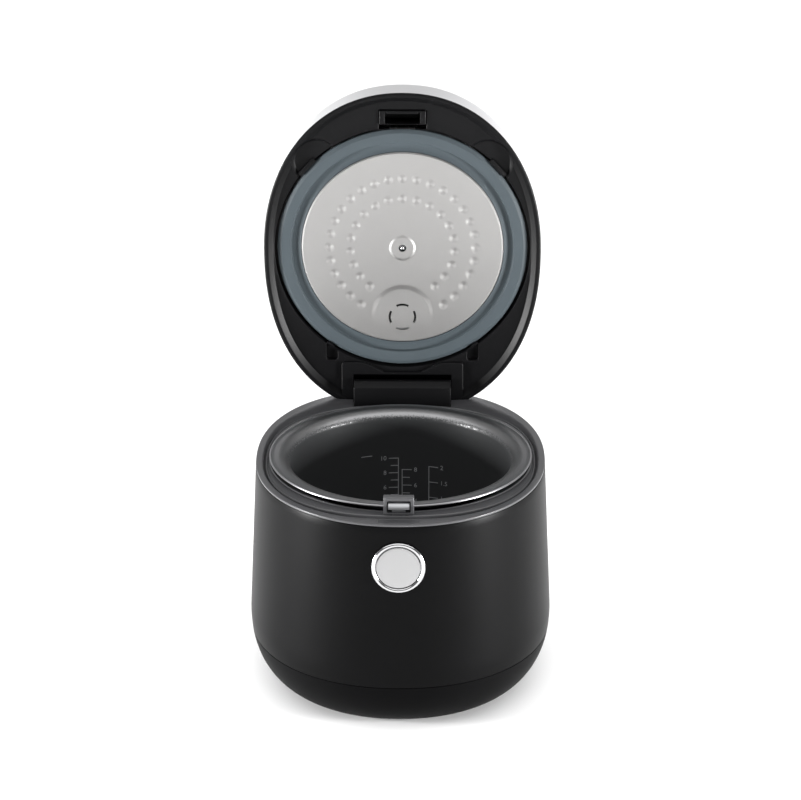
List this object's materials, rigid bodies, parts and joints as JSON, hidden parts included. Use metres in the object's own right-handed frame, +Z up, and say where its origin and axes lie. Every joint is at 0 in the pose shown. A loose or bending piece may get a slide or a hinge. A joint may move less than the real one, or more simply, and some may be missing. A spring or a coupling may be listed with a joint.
{
  "type": "rice cooker",
  "caption": "Oval rice cooker with a hinged lid standing open, a removable inner pot, a lid gasket and inner plate, and a round lid-release button.",
  "frame": {"origin": "centre of the object's footprint box, lid open, on the surface it stands on", "axes": "+Z up, +X to the right seen from the front, front (button side) towards -Y"},
  "size_m": [0.2746, 0.3486, 0.5069],
  "materials": {
    "casing_black": "matte",
    "base_black": "matte",
    "deck_grey": "satin",
    "frame_black": "satin",
    "rubber_black": "matte",
    "steel": "brushed",
    "aluminium_plain": "satin",
    "circuit_board": "matte",
    "component_black": "satin",
    "inlet_black": "satin",
    "brass": "satin",
    "chrome": "polished",
    "button_silver": "brushed",
    "pot_metal": "satin outside, dark non-stick inside",
    "lid_silver": "silver paint",
    "gasket_grey": "matte silicone",
    "plate_aluminium": "satin",
    "cap_black": "satin",
    "panel_gloss": "gloss"
  },
  "bodies": {
    "root": {"outer_casing": "casing_black", "base_cover": "base_black", "deck_ring": "deck_grey", "foot_1": "rubber_black", "foot_2": "rubber_black", "foot_3": "rubber_black", "foot_4": "rubber_black", "base_screw_1": "steel", "base_screw_2": "steel", "base_screw_3": "steel", "base_screw_4": "steel", "pot_well": "aluminium_plain", "heating_plate": "aluminium_plain", "chassis_plate": "steel", "sensor_bracket": "steel", "sensor_spring": "steel", "power_board": "circuit_board", "transformer": "component_black", "relay": "component_black", "ac_inlet": "inlet_black", "inlet_pin_1": "brass", "inlet_pin_2": "brass", "inlet_pin_3": "brass", "button_bezel": "chrome", "button_spring": "steel", "latch_housing": "deck_grey", "hinge_block": "frame_black", "hinge_pin": "steel", "hinge_spring": "steel", "hinge_tray": "base_black"},
    "lid": {"lid_inner_frame": "frame_black", "lid_outer_cover": "lid_silver", "lid_gasket": "gasket_grey", "inner_lid_plate": "plate_aluminium", "lid_heater_plate": "aluminium_plain", "inner_lid_body": "component_black", "pin_grommet": "gasket_grey", "centre_pin": "chrome", "steam_valve_body": "component_black", "control_panel": "panel_gloss", "display_board": "circuit_board", "latch_strike": "frame_black", "gasket_clip_1": "frame_black", "gasket_clip_2": "frame_black", "gasket_clip_3": "frame_black", "gasket_clip_4": "frame_black"},
    "pot": {"inner_pot": "pot_metal"},
    "button": {"release_button": "button_silver"},
    "latch": {"latch_hook": "steel"},
    "sensor": {"temperature_sensor": "aluminium_plain"},
    "lid_tab": {"inner_lid_tab": "frame_black"},
    "valve_cap": {"steam_valve_cap": "cap_black"}
  },
  "joints": [
    {"name": "lid_hinge", "type": "hinge", "parent": "root", "child": "lid", "pos_m": [0, 0.12676, 0.21], "axis": [1, 0, 0], "range_deg": [0, 90], "stiffness_Nm_per_rad": 0.64, "springref_deg": -53.86},
    {"name": "pot_turn", "type": "hinge", "parent": "root", "child": "pot", "pos_m": [0, -0.01924, 0.21], "axis": [0, 0, 1], "continuous": true},
    {"name": "button_press", "type": "slide", "parent": "root", "child": "button", "axis": [0, 1, 0], "range_m": [0, 0.003], "stiffness_N_per_m": 600, "springref_m": -0.002, "deforming": ["button_spring"]},
    {"name": "latch_slide", "type": "slide", "parent": "root", "child": "latch", "axis": [0, 1, 0], "range_m": [0, 0.003]},
    {"name": "sensor_press", "type": "slide", "parent": "root", "child": "sensor", "axis": [0, 0, 1], "range_m": [-0.002, 0], "stiffness_N_per_m": 1500, "springref_m": 0.002, "deforming": ["sensor_spring"]},
    {"name": "tab_slide", "type": "slide", "parent": "lid", "child": "lid_tab", "axis": [0, 0, 1], "range_m": [0, 0.0018], "stiffness_N_per_m": 500, "springref_m": -0.002},
    {"name": "valve_cap_pull", "type": "slide", "parent": "lid", "child": "valve_cap", "axis": [0, 1, 0], "range_m": [0, 0.025]}
  ],
  "couplings": [
    {"joint": "latch_slide", "follows": "button_press", "ratio": 1}
  ]
}
